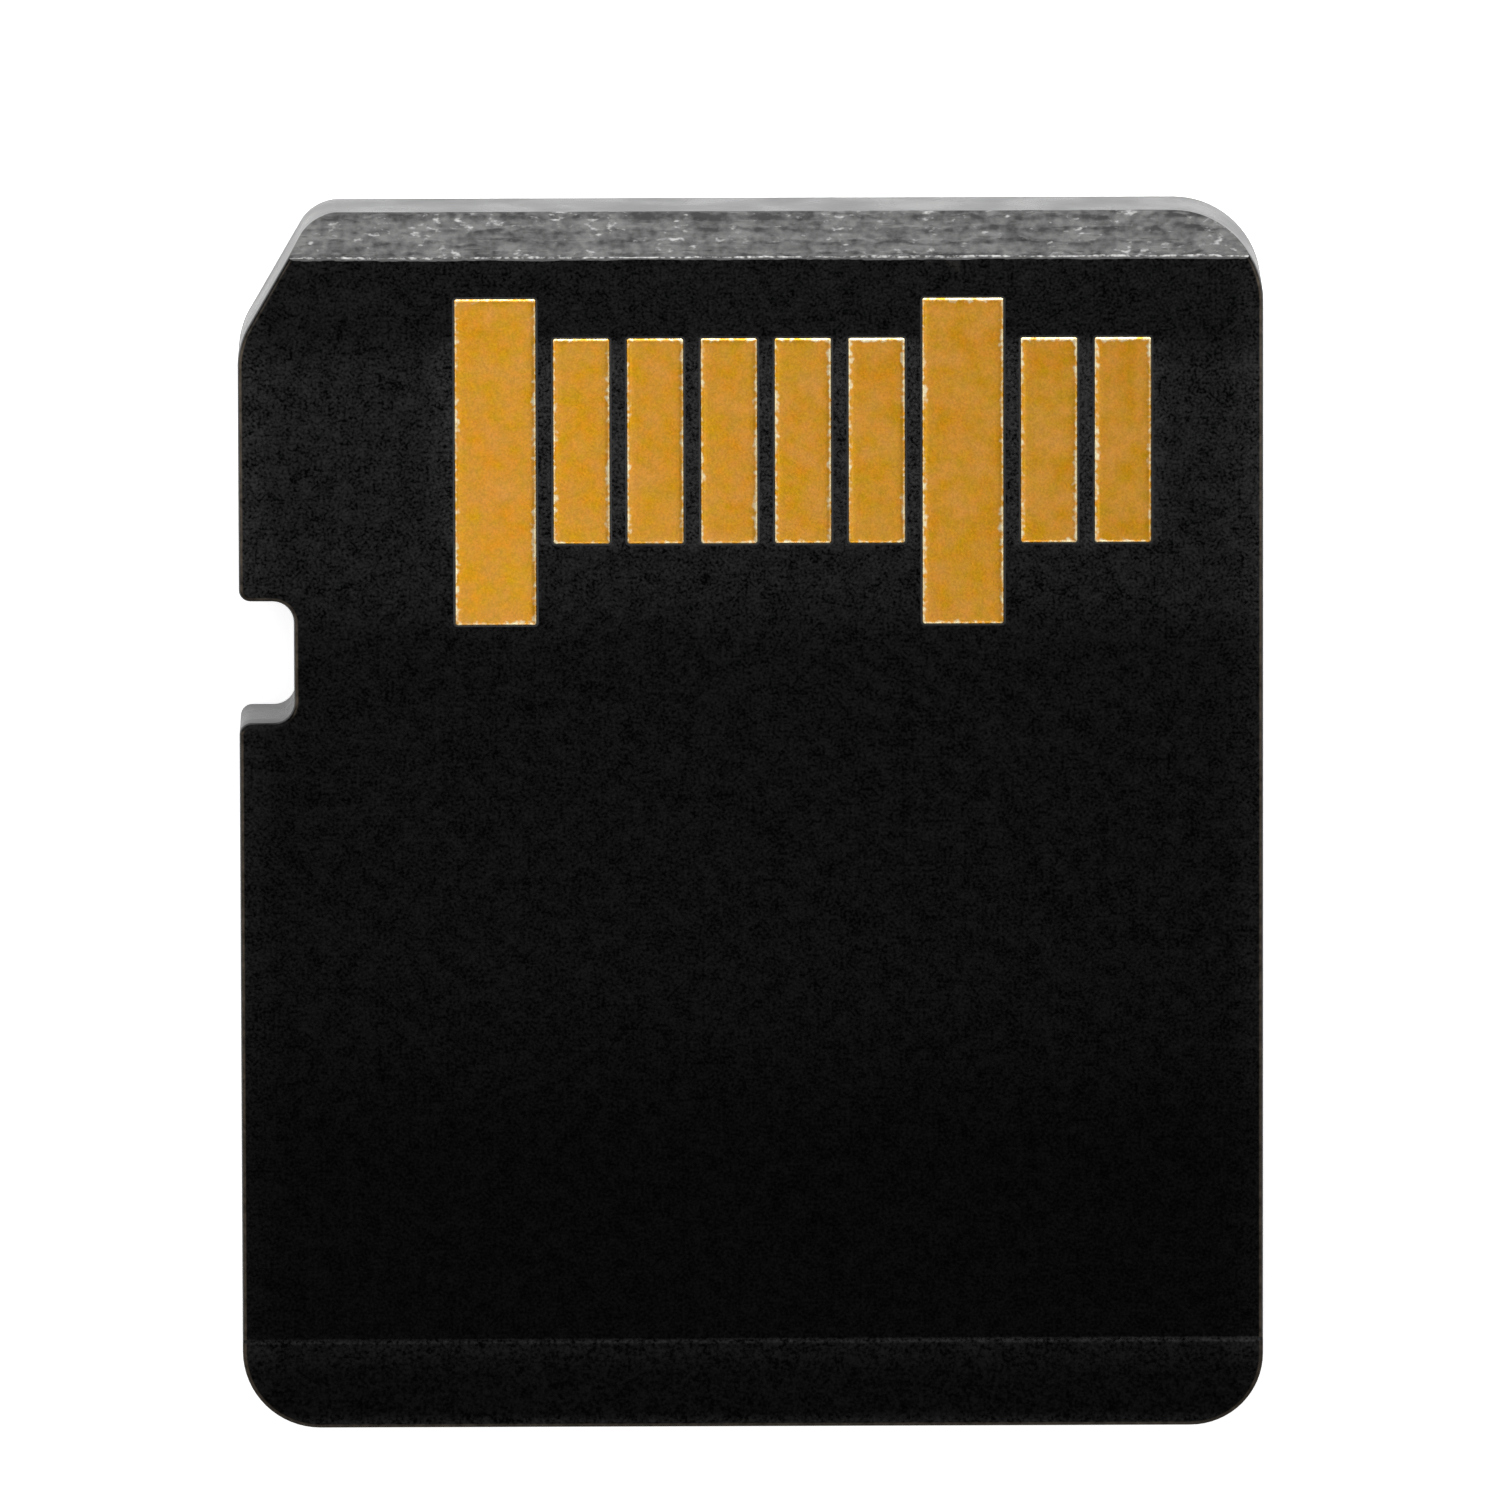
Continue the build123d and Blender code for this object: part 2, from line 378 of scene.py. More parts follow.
def make_black_film():
    material, tree, shader = start_material("black_film", roughness=0.5, specular=0.012)
    pattern = grain(tree, 0.036, 0.22, 0.09)
    mottle = arithmetic(tree, "MULTIPLY_ADD", pattern["Cloud"], 0.3, pattern["Grain"])
    mottle = arithmetic(tree, "MULTIPLY_ADD", pattern["Speck"], 0.3, mottle)
    tone = ramp_between(tree, mottle, 0.62, 1.0, smooth=False)
    black = blend_colours(tree, tone, (0.0006, 0.0006, 0.0008), (0.0250, 0.0248, 0.0255))
    # The film's colour is scaled by the painted light and shade.
    black = scaled(tree, black, painted_light_zones(tree))
    # Brown rims: partly film worn thin, partly a painted highlight on rims that face the sides and the rear.
    brown_rim_wear_and_highlight = arithmetic(tree, "MULTIPLY", film_rim_wear_and_highlight(tree), pattern["Speck"])
    tree.links.new(mix_to(tree, brown_rim_wear_and_highlight, black, (0.13, 0.105, 0.08)), shader.inputs["Base Color"])
    raise_bumps(tree, shader, pattern["Grain"], 0.006)
    return material


black_film = make_black_film()
print("material", black_film.name)

# %% [markdown]
# ## Cast epoxy
# The body is epoxy filled with fine silica and cast in a polished mould, so its walls are satin black.
# Seen along the wall they mirror the pale table, which is why the front of the card looks light grey:
# that needs no paint, only the shader's own reflection at a grazing angle.

# %% Cast epoxy material
def make_cast_epoxy():
    material, tree, shader = start_material("cast_epoxy", roughness=0.35, specular=0.5)
    pattern = grain(tree, 0.06, 0.9, 0.12)
    tone = ramp_between(tree, pattern["Grain"], 0.35, 0.7)
    black = blend_colours(tree, tone, (0.006, 0.006, 0.0065), (0.014, 0.014, 0.0145))
    tree.links.new(black, shader.inputs["Base Color"])
    sheen = ramp_between(tree, pattern["Cloud"], 0.3, 0.7, 0.24, 0.34)
    tree.links.new(sheen, shader.inputs["Roughness"])
    raise_bumps(tree, shader, pattern["Grain"], 0.003)
    return material


cast_epoxy = make_cast_epoxy()
print("material", cast_epoxy.name)

# %% [markdown]
# ## Woven glass, cut and ground
# The board is layers of woven glass in dark resin. Where the slope is ground through it, each layer shows
# as a row of pale, lens-shaped yarn ends with wavy resin lines between them, painted highlights in arcs
# beside the lines, and painted glints as specks on the broken glass. The layers are level in the board,
# so the rows are worked out from the depth below the contact side. Broader pale patches lie over them,
# and the painted glints gather there. The cut side of the board shows the same layers, much darker. A
# node group makes each of these patterns for both finishes.

# %% Woven glass group and its two finishes
PLY_PITCH = 0.0832
FIRST_RESIN_LINE = 0.0335
YARN_LENGTH = 0.42


def make_weave_group():
    tree = bpy.data.node_groups.new("woven_glass", "ShaderNodeTree")
    for name in ("Yarn", "Resin", "Arc", "Patch", "Streak", "Speck"):
        tree.interface.new_socket(name, in_out="OUTPUT", socket_type="NodeSocketFloat")
    result = add_node(tree, "NodeGroupOutput")
    place = place_in_mm(tree)
    depth = arithmetic(tree, "SUBTRACT", FACE_HEIGHT, place["Z"])

    def pattern(length, layer, detail=2.0):
        """Noise whose spots have a length across the card and a thickness down through the layers."""
        vector = add_node(tree, "ShaderNodeCombineXYZ")
        tree.links.new(arithmetic(tree, "DIVIDE", place["X"], length), vector.inputs[0])
        tree.links.new(arithmetic(tree, "DIVIDE", place["Y"], 2 * layer), vector.inputs[1])
        tree.links.new(arithmetic(tree, "DIVIDE", depth, layer), vector.inputs[2])
        return noise_at(tree, vector.outputs[0], detail).outputs["Fac"]

    wave = arithmetic(tree, "SUBTRACT", pattern(0.36, 0.26, 1.0), 0.5)
    row = arithmetic(tree, "DIVIDE", arithmetic(tree, "SUBTRACT", depth, FIRST_RESIN_LINE), PLY_PITCH)
    row = arithmetic(tree, "ADD", row, 4.0)
    row = arithmetic(tree, "MULTIPLY_ADD", wave, 1.2, row)
    middle = arithmetic(tree, "SUBTRACT", arithmetic(tree, "FRACT", row), 0.5)
    edge = arithmetic(tree, "MULTIPLY", arithmetic(tree, "ABSOLUTE", middle), 2.0)
    yarn_place = add_node(tree, "ShaderNodeCombineXYZ")
    tree.links.new(arithmetic(tree, "DIVIDE", place["X"], YARN_LENGTH), yarn_place.inputs[0])
    tree.links.new(arithmetic(tree, "MULTIPLY", arithmetic(tree, "FLOOR", row), 5.7), yarn_place.inputs[1])
    bundle = noise_at(tree, yarn_place.outputs[0], 1.0).outputs["Fac"]
    lens = arithmetic(tree, "MULTIPLY_ADD", edge, -0.16, bundle)
    tree.links.new(ramp_between(tree, lens, 0.24, 0.56), result.inputs["Yarn"])
    broken = ramp_between(tree, pattern(0.34, 0.066), 0.42, 0.6)
    line = arithmetic(tree, "MULTIPLY", ramp_between(tree, edge, 0.45, 0.95), broken)
    # Painted highlight: pale arcs beside each resin line, where a yarn's edge catches the light.
    across = arithmetic(tree, "FRACT", row)
    rise = ramp_between(tree, across, 0.08, 0.24)
    arc_highlight_band = arithmetic(tree, "MULTIPLY", rise, ramp_between(tree, across, 0.24, 0.44, 1, 0))
    lit = ramp_between(tree, pattern(0.15, 0.066, 3.0), 0.47, 0.64)
    tree.links.new(arithmetic(tree, "MULTIPLY", arc_highlight_band, lit), result.inputs["Arc"])
    border = ramp_between(tree, pattern(0.3, 0.26), 0.34, 0.54)
    border = arithmetic(tree, "MULTIPLY", ramp_between(tree, depth, 0.25, 0.285), border)
    tree.links.new(arithmetic(tree, "MAXIMUM", line, border), result.inputs["Resin"])
    patch = pattern(0.42, 0.2)
    tree.links.new(ramp_between(tree, patch, 0.3, 0.7), result.inputs["Patch"])
    tree.links.new(pattern(0.11, 0.056, 3.0), result.inputs["Streak"])
    # Painted glints: specks of broken glass, gathered on the pale patches.
    glint_specks = arithmetic(tree, "MULTIPLY_ADD", patch, 0.6, pattern(0.12, 0.038, 3.0))
    tree.links.new(ramp_between(tree, glint_specks, 0.91, 1.15), result.inputs["Speck"])
    return tree


weave_group = make_weave_group()


def make_laminate(name, resin_tone, glass_tone, glint_tone, roughness, specular, relief):
    material, tree, shader = start_material(name, roughness=roughness, specular=specular)
    weave = add_node(tree, "ShaderNodeGroup", node_tree=weave_group).outputs
    tone = arithmetic(tree, "MULTIPLY_ADD", weave["Streak"], 1.7, -0.61)
    tone = arithmetic(tree, "MULTIPLY_ADD", weave["Patch"], 0.48, tone)
    tone = arithmetic(tree, "MULTIPLY_ADD", weave["Yarn"], 0.22, tone)
    tone = arithmetic(tree, "MULTIPLY_ADD", weave["Resin"], -0.38, tone)
    # The painted highlight arcs lighten the tone.
    tone = arithmetic(tree, "MULTIPLY_ADD", weave["Arc"], 0.42, tone)
    glass = blend_colours(tree, tone, resin_tone, glass_tone)
    # Painted glints: the specks are mixed towards a pale tone.
    tree.links.new(mix_to(tree, weave["Speck"], glass, glint_tone), shader.inputs["Base Color"])
    raise_bumps(tree, shader, tone, relief)
    return material


ground_laminate = make_laminate(
    "ground_laminate",
    resin_tone=(0.02, 0.02, 0.02),
    glass_tone=(0.136, 0.136, 0.134),
    glint_tone=(0.42, 0.42, 0.415),
    roughness=0.6,
    specular=0.3,
    relief=0.004,
)
cut_laminate = make_laminate(
    "cut_laminate",
    resin_tone=(0.004, 0.004, 0.0042),
    glass_tone=(0.014, 0.014, 0.0135),
    glint_tone=(0.02, 0.02, 0.02),
    roughness=0.28,
    specular=0.5,
    relief=0.0005,
)
print("materials", ground_laminate.name, cut_laminate.name)

# %% [markdown]
# ## The ground edge of the film
# Where the slope leaves the film, the black is only 0.025 mm thick, and its torn edge carries a painted
# highlight as a fine, broken pale line. Short pale beads along the card, with darker gaps, give that line.

# %% Ground film material
def make_ground_film():
    material, tree, shader = start_material("ground_film", roughness=0.55, specular=0.4)
    pattern = grain(tree, 0.06, 0.3, 0.05)
    beads = arithmetic(tree, "MULTIPLY_ADD", pattern["Cloud"], 0.5, pattern["Grain"])
    tone = ramp_between(tree, beads, 0.58, 0.96)
    # Painted highlight along the torn upper edge of the film.
    torn_edge_highlight = ramp_between(tree, place_in_mm(tree)["Z"], FACE_HEIGHT - 0.019, FACE_HEIGHT - 0.009, 1, 0)
    pale = arithmetic(tree, "MULTIPLY", tone, torn_edge_highlight)
    edge = blend_colours(tree, pale, (0.035, 0.035, 0.034), (0.5, 0.5, 0.49))
    tree.links.new(edge, shader.inputs["Base Color"])
    return material


ground_film = make_ground_film()
print("material", ground_film.name)

# %% [markdown]
# ## Gold plate
# The contacts are copper with nickel and a thin satin gold on top. The gold is orange, with a fine mottle
# that drifts to pink in some places and to a greener yellow in others. Along the rim it turns to a paler
# nickel in blots that creep in from the edge: partly gold rubbed through by the slot's springs, partly a
# painted highlight on the rolled rim. A mask on place alone can't follow nine rims, so each contact's mesh
# will carry its distance from the rim as an attribute, and a coarse noise is weighed against it.

# %% Gold plate material
RIM_DISTANCE = "from_rim"


def make_gold_plate():
    material, tree, shader = start_material("gold_plate", roughness=0.36, specular=0.5, metallic=1.0)
    pattern = grain(tree, 0.028, 0.24, 0.075)
    drift = grain(tree, 0.06, 0.6, 0.13)
    shade = arithmetic(tree, "MULTIPLY_ADD", drift["Grain"], 0.5, drift["Speck"])
    shade = arithmetic(tree, "MULTIPLY_ADD", drift["Cloud"], 0.7, shade)
    orange = ramp_between(tree, shade, 0.82, 1.38, smooth=False)
    gold = blend_colours(tree, orange, (0.61, 0.325, 0.012), (0.675, 0.266, 0.012))
    pink = ramp_between(tree, pattern["Cloud"], 0.3, 0.85, 0.0, 0.8, smooth=False)
    gold = mix_to(tree, pink, gold, (0.69, 0.325, 0.08))
    grains = arithmetic(tree, "MULTIPLY_ADD", drift["Speck"], 0.35, pattern["Grain"])
    tone = ramp_between(tree, grains, 0.3, 1.05, 0.83, 1.17)
    gold = scaled(tree, gold, tone)
    # Pale nickel at the rims: partly gold rubbed through by the slot's springs, partly a painted highlight.
    from_rim = add_node(tree, "ShaderNodeAttribute", attribute_name=RIM_DISTANCE).outputs["Fac"]
    blots = arithmetic(tree, "MULTIPLY_ADD", drift["Cloud"], 0.7, pattern["Speck"])
    gold_rim_wear_and_highlight = arithmetic(tree, "MULTIPLY_ADD", from_rim, -6.0, blots)
    nickel_and_rim_highlight = mix_to(tree, ramp_between(tree, gold_rim_wear_and_highlight, 0.58, 0.94), gold, (0.84, 0.73, 0.46))
    tree.links.new(nickel_and_rim_highlight, shader.inputs["Base Color"])
    tree.links.new(ramp_between(tree, pattern["Cloud"], 0.3, 0.7, 0.33, 0.40), shader.inputs["Roughness"])
    raise_bumps(tree, shader, pattern["Grain"], 0.0018)
    return material


gold_plate = make_gold_plate()
print("material", gold_plate.name)

# %% [markdown]
# ## The blank
# Body, board and film are cut to outline together, so one blank is shaped first and parted into its
# layers later. It starts as a box of the card's size. A plane cuts the key corner, a small block takes
# out the notch, and then each upright edge is rounded. A bevel's offset is measured along the faces, so
# for a corner that turns by less than a quarter turn it is the radius times the tangent of half that
# turn.

# %% Sizes of the blank
board_low, board_high = node_box("circuit_board")
BOARD_BOTTOM = board_low.z
BOARD_TOP = board_high.z
KEY_CUT_ACROSS = 0.915
KEY_CUT_ALONG = 1.585
NOTCH_SETBACK = 4.75
NOTCH_WIDTH = 1.5
NOTCH_DEPTH = 0.67
NOTCH_FRONT = FRONT - NOTCH_SETBACK
NOTCH_REAR = NOTCH_FRONT - NOTCH_WIDTH
NOTCH_FLOOR = NOTCH_DEPTH - SIDE
print("card", round(2 * SIDE, 3), "by", round(FRONT - REAR, 3), "by", round(FACE_HEIGHT, 3), "mm")

# %% Cut the blank to outline
blank = block("card_blank", (-SIDE, REAR, 0), (SIDE, FRONT, FACE_HEIGHT))
slice_off(blank, (-SIDE + KEY_CUT_ACROSS, FRONT, 0), (-KEY_CUT_ALONG, KEY_CUT_ACROSS, 0))
notch_tool = block("notch_tool", (-SIDE - 1, NOTCH_REAR, -1), (NOTCH_FLOOR, NOTCH_FRONT, FACE_HEIGHT + 1))
carve(blank, notch_tool)
print("blank faces", len(blank.data.polygons))

# %% Round the upright edges
REAR_RIGHT_RADIUS = 0.89
REAR_LEFT_RADIUS = 0.95
LEADING_RADIUS = 1.08
KEY_FRONT_RADIUS = 0.5
KEY_SIDE_RADIUS = 0.9
NOTCH_MOUTH_RADIUS = 0.14
NOTCH_FLOOR_RADIUS = 0.26
square_turn = math.pi / 2
key_turn = math.atan2(KEY_CUT_ALONG, KEY_CUT_ACROSS)
upright_edges = [
    (SIDE, REAR, REAR_RIGHT_RADIUS, square_turn, 16),
    (-SIDE, REAR, REAR_LEFT_RADIUS, square_turn, 16),
    (SIDE, FRONT, LEADING_RADIUS, square_turn, 18),
    (-SIDE + KEY_CUT_ACROSS, FRONT, KEY_FRONT_RADIUS, key_turn, 12),
    (-SIDE, FRONT - KEY_CUT_ALONG, KEY_SIDE_RADIUS, square_turn - key_turn, 8),
    (-SIDE, NOTCH_FRONT, NOTCH_MOUTH_RADIUS, square_turn, 7),
    (-SIDE, NOTCH_REAR, NOTCH_MOUTH_RADIUS, square_turn, 7),
    (NOTCH_FLOOR, NOTCH_FRONT, NOTCH_FLOOR_RADIUS, square_turn, 8),
    (NOTCH_FLOOR, NOTCH_REAR, NOTCH_FLOOR_RADIUS, square_turn, 8),
]


def upright_at(x, y):
    def test(edge):
        return all(math.hypot(vert.co.x - x, vert.co.y - y) < 0.01 for vert in edge.verts)
    return test


open_mesh(blank)
for x, y, radius, turn, segments in upright_edges:
    found = choose(blank, "EDGE", upright_at(x, y))
    offset = radius * math.tan(turn / 2)
    bpy.ops.mesh.bevel(offset=offset, segments=segments, affect="EDGES", clamp_overlap=False)
    print("upright edge", round(x, 2), round(y, 2), "edges", found)
close_mesh()

# %% [markdown]
# ## Soft edges and the rear strip
# The label side has the mould's rounded edge, and the contact side a smaller one. Along the rear, a strip
# of the contact side stands a hair proud and shows as one faint bright line. Bisecting the blank across
# several times makes the rows of points for a gentle ramp, and each row is then lifted by its share.

# %% Round the rims and lift the rear strip
LABEL_SIDE_EDGE = 0.07
CONTACT_SIDE_EDGE = 0.07
REAR_STRIP_WIDTH = 1.05
REAR_STRIP_RAMP = 0.06
RAMP_STEPS = 6
strip_front = REAR + REAR_STRIP_WIDTH


def level_at(z):
    def test(edge):
        return all(abs(vert.co.z - z) < NEAR for vert in edge.verts)
    return test


open_mesh(blank)
choose(blank, "EDGE", level_at(0))
bpy.ops.mesh.bevel(offset=LABEL_SIDE_EDGE, segments=8, affect="EDGES", clamp_overlap=False)
choose(blank, "EDGE", level_at(FACE_HEIGHT))
bpy.ops.mesh.bevel(offset=CONTACT_SIDE_EDGE, segments=6, affect="EDGES", clamp_overlap=False)
for step in range(RAMP_STEPS + 1):
    bpy.ops.mesh.select_all(action="SELECT")
    row = strip_front + REAR_STRIP_RAMP * step / RAMP_STEPS
    bpy.ops.mesh.bisect(plane_co=(0, row, 0), plane_no=(0, 1, 0), threshold=NEAR)
for step in range(RAMP_STEPS):
    row = strip_front + REAR_STRIP_RAMP * step / RAMP_STEPS
    share = (1 + math.cos(math.pi * step / RAMP_STEPS)) / 2
    rim = FACE_HEIGHT - CONTACT_SIDE_EDGE - NEAR
    choose(
        blank, "VERT",
        lambda vert: vert.co.z > rim and (abs(vert.co.y - row) < 0.002 or (step == 0 and vert.co.y < row)),
    )
    bpy.ops.transform.translate(value=(0, 0, REAR_STRIP_RISE * share))
close_mesh()
print("blank faces", len(blank.data.polygons))

# %% [markdown]
# ## The ground slope
# The slope at the leading edge is not moulded but ground, and it is rough: its upper edge is ragged where
# the wheel tore the film. A flat cut would be too clean. So the wheel itself is modelled, as a slab whose
# underside is a fine grid, dented by two noise textures that are stretched across the card as grinding
# marks are. It is turned to the slope and subtracted, and leaves its marks and its material on the pieces
# that it cuts.

# %% The grinding wheel
BEVEL_ALONG = 0.55
BEVEL_DEPTH = 0.32
WHEEL_WIDTH = 13.4
WHEEL_REACH = 0.84
WHEEL_ROWS_ACROSS = 520
WHEEL_ROWS_DOWN = 56
ARRIS_RADIUS = 0.075
ARRIS_TURN = math.radians(50)


def dent(piece, name, size, depth):
    """Displaces a piece along its own Z by clouds of a given size."""
    texture = bpy.data.textures.new(name, "CLOUDS")
    texture.noise_scale = size
    texture.noise_depth = 2
    modifier = piece.modifiers.new(name, "DISPLACE")
    modifier.texture = texture
    modifier.direction = "Z"
    modifier.strength = depth
    bpy.ops.object.modifier_apply(modifier=modifier.name)


def arris_drop(run):
    """How far the wheel bends down past the start of the worn arris, round at first and then straight."""
    if run <= 0:
        return 0
    straight = max(0, run - ARRIS_RADIUS * math.sin(ARRIS_TURN))
    run -= straight
    return ARRIS_RADIUS - math.sqrt(ARRIS_RADIUS**2 - run**2) + straight * math.tan(ARRIS_TURN)


def grinding_wheel(material):
    bpy.ops.object.select_all(action="DESELECT")
    bpy.ops.mesh.primitive_grid_add(x_subdivisions=WHEEL_ROWS_ACROSS, y_subdivisions=WHEEL_ROWS_DOWN, size=1)
    wheel = bpy.context.object
    wheel.name = "grinding_wheel"
    dent(wheel, "coarse_marks", 0.03, 0.02)
    dent(wheel, "fine_marks", 0.008, 0.012)
    wheel.scale = (WHEEL_WIDTH, WHEEL_REACH, 1)
    bpy.ops.object.transform_apply()
    slope_turn = math.atan2(BEVEL_ALONG, BEVEL_DEPTH)
    arris_start = math.hypot(BEVEL_ALONG, BEVEL_DEPTH) / 2 - ARRIS_RADIUS * math.tan(slope_turn / 2)
    open_mesh(wheel)
    for step in range(WHEEL_ROWS_DOWN + 1):
        row = WHEEL_REACH * (step / WHEEL_ROWS_DOWN - 0.5)
        drop = arris_drop(row - arris_start)
        if drop > 0:
            choose(wheel, "VERT", lambda vert: abs(vert.co.y - row) < NEAR)
            bpy.ops.transform.translate(value=(0, 0, -drop))
    choose(wheel, "EDGE", lambda edge: edge.is_boundary)
    bpy.ops.mesh.extrude_edges_move(TRANSFORM_OT_translate={"value": (0, 0, 1)})
    bpy.ops.transform.resize(value=(1, 1, 0), center_override=(0, 0, 1))
    bpy.ops.mesh.edge_face_add()
    bpy.ops.mesh.select_all(action="SELECT")
    bpy.ops.mesh.normals_make_consistent(inside=False)
    close_mesh()
    wheel.rotation_euler.x = -math.atan2(BEVEL_DEPTH, BEVEL_ALONG)
    wheel.location = (0, FRONT - BEVEL_ALONG / 2, FACE_HEIGHT - BEVEL_DEPTH / 2)
    bpy.ops.object.transform_apply()
    wheel.data.materials.append(material)
    return wheel


# %% Part the blank into body, board and film
body = copy_of(blank, "cast_body")
slice_off(body, (0, 0, BOARD_BOTTOM), (0, 0, 1))
board = copy_of(blank, "laminate_board")
slice_off(board, (0, 0, BOARD_TOP), (0, 0, 1))
slice_off(board, (0, 0, BOARD_BOTTOM), (0, 0, -1))
film = copy_of(blank, "contact_side_film")
slice_off(film, (0, 0, BOARD_TOP), (0, 0, -1))
bpy.data.objects.remove(blank)
for piece, material in ((body, cast_epoxy), (board, cut_laminate), (film, black_film)):
    piece.data.materials.clear()
    piece.data.materials.append(material)
carve(board, grinding_wheel(ground_laminate))
carve(film, grinding_wheel(ground_film))
print("ground board faces", len(board.data.polygons), "film", len(film.data.polygons))

# %% [markdown]
# ## Windows in the film
# The film stops a hair short of each contact. The contacts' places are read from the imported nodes, so
# each window is a block a little larger than its contact, with its upright edges rounded, and all nine
# are cut at once.

# %% Cut the windows
CONTACT_COUNT = 9
WINDOW_CLEARANCE = 0.02
WINDOW_CORNER = 0.05
contact_boxes = [node_box(f"contact_{number}") for number in range(1, CONTACT_COUNT + 1)]
margin = Vector((WINDOW_CLEARANCE, WINDOW_CLEARANCE, 1))
windows = []
for low, high in contact_boxes:
    window = block("window", low - margin, high + margin)
    open_mesh(window)
    choose(window, "EDGE", lambda edge: abs(edge.verts[0].co.z - edge.verts[1].co.z) > 1)
    bpy.ops.mesh.bevel(offset=WINDOW_CORNER, segments=5, affect="EDGES")
    close_mesh()
    windows.append(window)
only(windows[0])
for window in windows:
    window.select_set(True)
bpy.ops.object.join()
windows[0].data.materials.append(black_film)
carve(film, windows[0])
print("film faces", len(film.data.polygons))

# %% Put the three layers in place
settle(body, "moulded_body")
settle(board, "circuit_board")
settle(film, "solder_mask")

# %% [markdown]
# ## Contacts
# A plated contact is flat in the middle and rolls off at its rim, and that roll is what catches the light
# as a pale outline. The flat is a grid. Its border is extruded in small steps, each lower and a little
# wider than the last, to follow a quarter round, and the underside is closed. Two sizes are modelled, one
# wide and one narrow, and copied to their places. Soft dents of about a micron keep the gold from looking
# like a mirror-flat sheet.

# %% Model a contact
CONTACT_RIM = 0.07
CONTACT_CORNER = 0.03
CONTACT_CELL = 0.045
RIM_STEPS = 6


def contact_plate(name, width, length, top, bottom):
    inner = Vector((width - 2 * CONTACT_RIM, length - 2 * CONTACT_RIM, 1))
    rows = (round(inner.x / CONTACT_CELL), round(inner.y / CONTACT_CELL))
    bpy.ops.object.select_all(action="DESELECT")
    bpy.ops.mesh.primitive_grid_add(
        x_subdivisions=rows[0], y_subdivisions=rows[1], size=1, location=(0, 0, top)
    )
    plate = bpy.context.object
    plate.name = name
    plate.scale = inner
    bpy.ops.object.transform_apply()
    open_mesh(plate)
    choose(plate, "VERT", lambda vert: len(vert.link_edges) == 2)
    bpy.ops.mesh.bevel(offset=CONTACT_CORNER, segments=4, affect="VERTICES")
    choose(plate, "EDGE", lambda edge: edge.is_boundary)
    last = Vector((inner.x, inner.y, top))
    for step in range(1, RIM_STEPS + 1):
        turn = math.pi / 2 * step / RIM_STEPS
        grown = 2 * CONTACT_RIM * math.sin(turn)
        level = bottom + (top - bottom) * math.cos(turn)
        size = Vector((inner.x + grown, inner.y + grown, level))
        bpy.ops.mesh.extrude_edges_move(TRANSFORM_OT_translate={"value": (0, 0, size.z - last.z)})
        bpy.ops.transform.resize(value=(size.x / last.x, size.y / last.y, 1), center_override=(0, 0, 0))
        last = size
    bpy.ops.mesh.edge_face_add()
    bpy.ops.mesh.select_all(action="SELECT")
    bpy.ops.mesh.normals_make_consistent(inside=False)
    close_mesh()
    distances = plate.data.attributes.new(RIM_DISTANCE, "FLOAT", "POINT").data
    for vert, distance in zip(plate.data.vertices, distances):
        distance.value = min(width / 2 - abs(vert.co.x), length / 2 - abs(vert.co.y))
    plate.data.materials.append(gold_plate)
    return plate


# %% Copy the contacts to their places
PLATING_DENT_SIZE = 0.35
PLATING_DENT_DEPTH = 0.003
patterns = {}
for number, (low, high) in enumerate(contact_boxes, start=1):
    width = high.x - low.x
    length = high.y - low.y
    key = round(width, 2)
    if key not in patterns:
        patterns[key] = contact_plate("contact_pattern", width, length, high.z, low.z)
    plate = copy_of(patterns[key], f"gold_contact_{number}")
    only(plate)
    plate.location = ((low.x + high.x) / 2, (low.y + high.y) / 2, 0)
    bpy.ops.object.transform_apply()
    dent(plate, f"plating_{number}", PLATING_DENT_SIZE, PLATING_DENT_DEPTH)
    settle(plate, f"contact_{number}", crease=50)
for pattern_plate in patterns.values():
    bpy.data.objects.remove(pattern_plate)

# %% [markdown]
# ## Inside the card
# The chips, films, wires and capacitors are sealed in the epoxy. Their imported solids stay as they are,
# and get plain finishes of their own, so that the card still makes sense when it is cut open.

# %% Finishes of the inner pieces
def make_inner_finish(name, dark, pale, roughness, metallic=0.0):
    material, tree, shader = start_material(name, roughness=roughness, specular=0.5, metallic=metallic)
    pattern = grain(tree, 0.08, 0.7, 0.1)
    mottle = arithmetic(tree, "MULTIPLY_ADD", pattern["Grain"], 0.4, pattern["Cloud"])
    tone = ramp_between(tree, mottle, 0.45, 0.95)
    tree.links.new(blend_colours(tree, tone, dark, pale), shader.inputs["Base Color"])
    sheen = ramp_between(tree, pattern["Cloud"], 0.3, 0.7, roughness * 0.8, roughness * 1.2)
    tree.links.new(sheen, shader.inputs["Roughness"])
    return material


inner_finishes = {
    "silicon": make_inner_finish("silicon", (0.11, 0.11, 0.13), (0.16, 0.16, 0.18), 0.25),
    "bonding_film": make_inner_finish("bonding_film", (0.42, 0.35, 0.2), (0.55, 0.47, 0.3), 0.6),
    "gold_wire": make_inner_finish("gold_wire", (0.7, 0.42, 0.1), (0.8, 0.55, 0.2), 0.25, 1.0),
    "capacitor_ceramic": make_inner_finish("capacitor_ceramic", (0.34, 0.26, 0.17), (0.46, 0.37, 0.26), 0.5),
}
for subpart in frame["record"]["subparts"]:
    finish = inner_finishes.get(subpart["material_slot"])
    if finish:
        node = frame["nodes"][subpart["node"]]
        node.data.materials.clear()
        node.data.materials.append(finish)
print("inner finishes", sorted(inner_finishes))

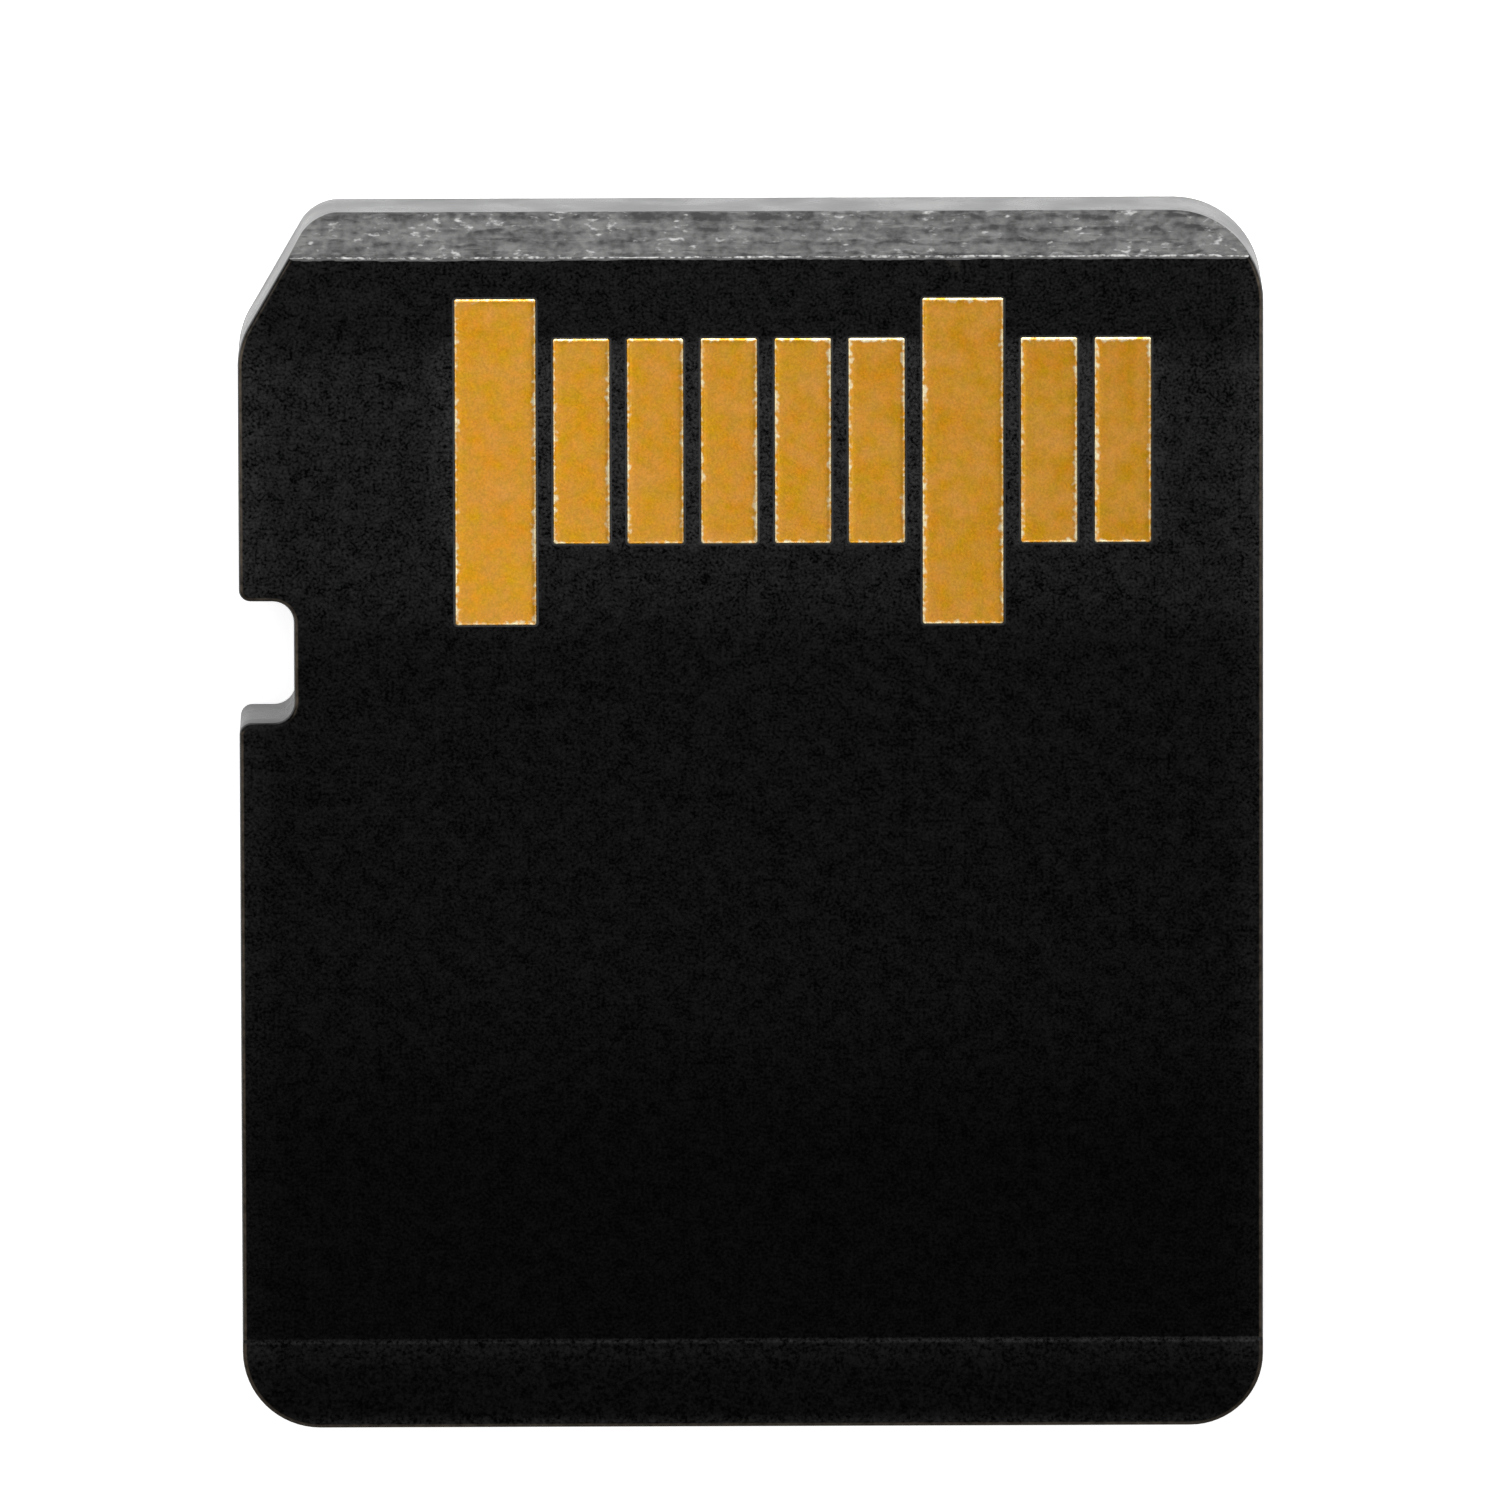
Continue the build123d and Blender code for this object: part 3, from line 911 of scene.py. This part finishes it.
# %% [markdown]
# ## Table
# The card lies on a plain white table. The table takes the lamps' light and the card's shadow, and a
# light of its own, which only the camera sees, lifts it to white without lighting the card any more. In
# reflections that light is weaker, because the black walls mirror the table close to the card, where the
# card itself keeps the light off.

# %% Lay the table
TABLE_SIZE = 4
TABLE_OWN_LIGHT = 0.76
TABLE_MIRRORED_LIGHT = 0.42


def make_table_white():
    material, tree, shader = start_material("table_white", roughness=0.9, specular=0.0)
    shader.inputs["Base Color"].default_value = (0.88, 0.88, 0.88, 1)
    shader.inputs["Emission Color"].default_value = (1, 1, 1, 1)
    light_path = add_node(tree, "ShaderNodeLightPath").outputs
    seen = arithmetic(tree, "MAXIMUM", light_path["Is Camera Ray"], light_path["Is Transmission Ray"])
    own_light = arithmetic(tree, "MULTIPLY", seen, TABLE_OWN_LIGHT)
    mirrored = arithmetic(tree, "MULTIPLY", light_path["Is Glossy Ray"], TABLE_MIRRORED_LIGHT)
    tree.links.new(arithmetic(tree, "MAXIMUM", own_light, mirrored), shader.inputs["Emission Strength"])
    return material


bpy.ops.object.select_all(action="DESELECT")
bpy.ops.mesh.primitive_plane_add(size=TABLE_SIZE)
table = bpy.context.object
table.name = "table"
table.data.materials.append(make_table_white())
print("table", tuple(table.dimensions))

# %% [markdown]
# ## Light
# The photograph is brightest at the leading edge and falls off towards the rear within 15 mm, so one of
# its lamps was close by: a soft strip before the leading edge. A panel overhead, to the left and the
# rear, is what the flat gold mirrors, and it makes the left contacts a little brighter than the right
# ones. Three weak strips, at the rear and at both sides, draw the rims of the contacts. A dim, even
# surround fills the shadows.

# %% Set the lamps
SURROUND_FILL = 0.06
SURROUND_MIRRORED = 0.4


def strip_lamp(name, place, target, size, power):
    data = bpy.data.lights.new(name, "AREA")
    data.shape = "RECTANGLE"
    data.size = size[0] * MM
    data.size_y = size[1] * MM
    data.energy = power
    lamp = bpy.data.objects.new(name, data)
    lamp.location = Vector(place) * MM
    lamp.rotation_euler = (Vector(target) - Vector(place)).to_track_quat("-Z", "Y").to_euler()
    lamp.visible_camera = False
    bpy.context.scene.collection.objects.link(lamp)
    return lamp


strip_lamp("overhead_panel", (-13, -12, 60), (0, 2, 0), (28, 28), 0.003)
strip_lamp("leading_strip", (0, 16, 9), (0, 6, 0), (46, 6), 0.0049)
strip_lamp("rear_strip", (0, -30, 30), (0, 4, 0), (40, 8), 0.003)
strip_lamp("left_strip", (-35, 4, 30), (0, 4, 0), (40, 8), 0.0026)
strip_lamp("right_strip", (35, 4, 30), (0, 4, 0), (40, 8), 0.0018)
world = bpy.data.worlds.new("studio")
bpy.context.scene.world = world
world.use_nodes = True
surround = world.node_tree.nodes["Background"]
surround.inputs["Color"].default_value = (1, 1, 1, 1)
light_path = add_node(world.node_tree, "ShaderNodeLightPath").outputs
mirrored = light_path["Is Glossy Ray"]
level = arithmetic(world.node_tree, "MULTIPLY_ADD", mirrored, SURROUND_MIRRORED, SURROUND_FILL)
level = arithmetic(world.node_tree, "MAXIMUM", level, light_path["Is Camera Ray"])
level = arithmetic(world.node_tree, "MAXIMUM", level, light_path["Is Transmission Ray"])
world.node_tree.links.new(level, surround.inputs["Strength"])
bpy.context.scene.view_settings.view_transform = "Standard"

# %% [markdown]
# ## Camera
# The photograph looks almost straight down, leaning about nine degrees towards the leading edge, from far
# enough away that the card's sides hardly converge. The lean, a small turn and a small roll were measured
# on the contacts and the outline.

# %% Aim the camera
LEAN = math.radians(9.312)
TURN = math.radians(0.272)
ROLL = math.radians(-0.19)
DISTANCE = 358
LENS = 703.8
aim = Vector((-0.018, 0.905, FACE_HEIGHT))
right = Vector((1, 0, 0))
back = Vector((0, math.sin(LEAN), math.cos(LEAN)))
up = back.cross(right)


def turned(first, second, angle):
    """Two axes at right angles, turned in their own plane."""
    cos = math.cos(angle)
    sin = math.sin(angle)
    return first * cos + second * sin, second * cos - first * sin


right, back = turned(right, back, TURN)
right, up = turned(right, up, ROLL)
camera_data = bpy.data.cameras.new("camera")
camera_data.lens = LENS
camera_data.clip_start = 0.01
camera_data.clip_end = 10
camera = bpy.data.objects.new("camera", camera_data)
bpy.context.scene.collection.objects.link(camera)
axes = Matrix((right, up, back)).transposed().to_4x4()
camera.matrix_world = Matrix.Translation((aim + back * DISTANCE) * MM) @ axes
bpy.context.scene.camera = camera
print("camera at", [round(v, 4) for v in camera.location])
